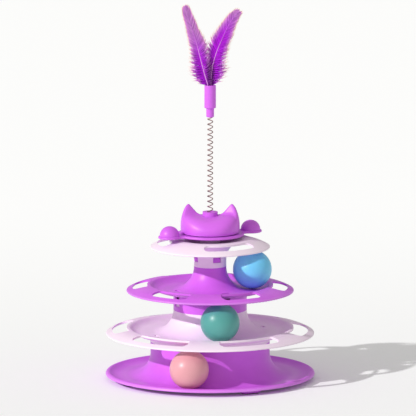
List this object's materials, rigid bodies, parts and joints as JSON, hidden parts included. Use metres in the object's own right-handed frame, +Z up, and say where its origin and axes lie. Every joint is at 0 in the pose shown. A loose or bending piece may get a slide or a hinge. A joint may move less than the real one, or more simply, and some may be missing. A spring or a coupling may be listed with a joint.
{
  "type": "cat ball track toy",
  "caption": "Stacked round ball-track tower for cats, with balls in open channels, a spinner, a cat-head cap and a feather wand on a coil spring.",
  "frame": {"origin": "on the floor, on the tower's axis", "axes": "+Z up, the cat's head faces -Y, +X to its right as seen from the front"},
  "size_m": [0.2259, 0.2259, 0.4084],
  "materials": {
    "purple_plastic": "satin moulded plastic",
    "lilac_plastic": "satin moulded plastic",
    "pad_rubber": "soft matt rubber",
    "pink_plastic": "satin plastic",
    "teal_plastic": "satin plastic",
    "blue_plastic": "satin plastic",
    "spring_wire": "drawn wire",
    "feather": "dyed feather"
  },
  "bodies": {
    "tower": {"base_track": "purple_plastic", "lower_track": "lilac_plastic", "upper_track": "purple_plastic", "top_tier": "lilac_plastic", "pad_1": "pad_rubber", "pad_2": "pad_rubber", "pad_3": "pad_rubber", "pad_4": "pad_rubber"},
    "spinner": {"spinner": "purple_plastic"},
    "head": {"cat_head": "purple_plastic", "spring_socket": "purple_plastic"},
    "spring": {"spring": "spring_wire"},
    "wand": {"spring_cap": "purple_plastic", "feather_ferrule": "purple_plastic", "feather_left": "feather", "feather_right": "feather"},
    "ball_pink": {"ball_pink": "pink_plastic"},
    "ball_teal": {"ball_teal": "teal_plastic"},
    "ball_blue": {"ball_blue": "blue_plastic"}
  },
  "joints": [
    {"name": "spinner_turn", "type": "hinge", "parent": "tower", "child": "spinner", "pos_m": [0, 0, 0.158], "axis": [0, 0, 1], "continuous": true},
    {"name": "head_turn", "type": "hinge", "parent": "tower", "child": "head", "pos_m": [0, 0, 0.15], "axis": [0, 0, 1], "continuous": true},
    {"name": "spring_sway", "type": "hinge", "parent": "head", "child": "spring", "pos_m": [0, 0, 0.209], "axis": [0, 1, 0], "range_deg": [-45, 45], "stiffness_Nm_per_rad": 0.053, "deforming": ["spring"]},
    {"name": "spring_nod", "type": "hinge", "parent": "spring", "child": "wand", "pos_m": [0, 0, 0.26], "axis": [1, 0, 0], "range_deg": [-45, 45], "stiffness_Nm_per_rad": 0.053, "deforming": ["spring"]},
    {"name": "ball_pink_orbit", "type": "hinge", "parent": "tower", "child": "ball_pink", "pos_m": [0, 0, 0.0263], "axis": [0, 0, 1], "continuous": true},
    {"name": "ball_teal_orbit", "type": "hinge", "parent": "tower", "child": "ball_teal", "pos_m": [0, 0, 0.0731], "axis": [0, 0, 1], "continuous": true},
    {"name": "ball_blue_orbit", "type": "hinge", "parent": "tower", "child": "ball_blue", "pos_m": [0, 0, 0.1199], "axis": [0, 0, 1], "continuous": true}
  ]
}
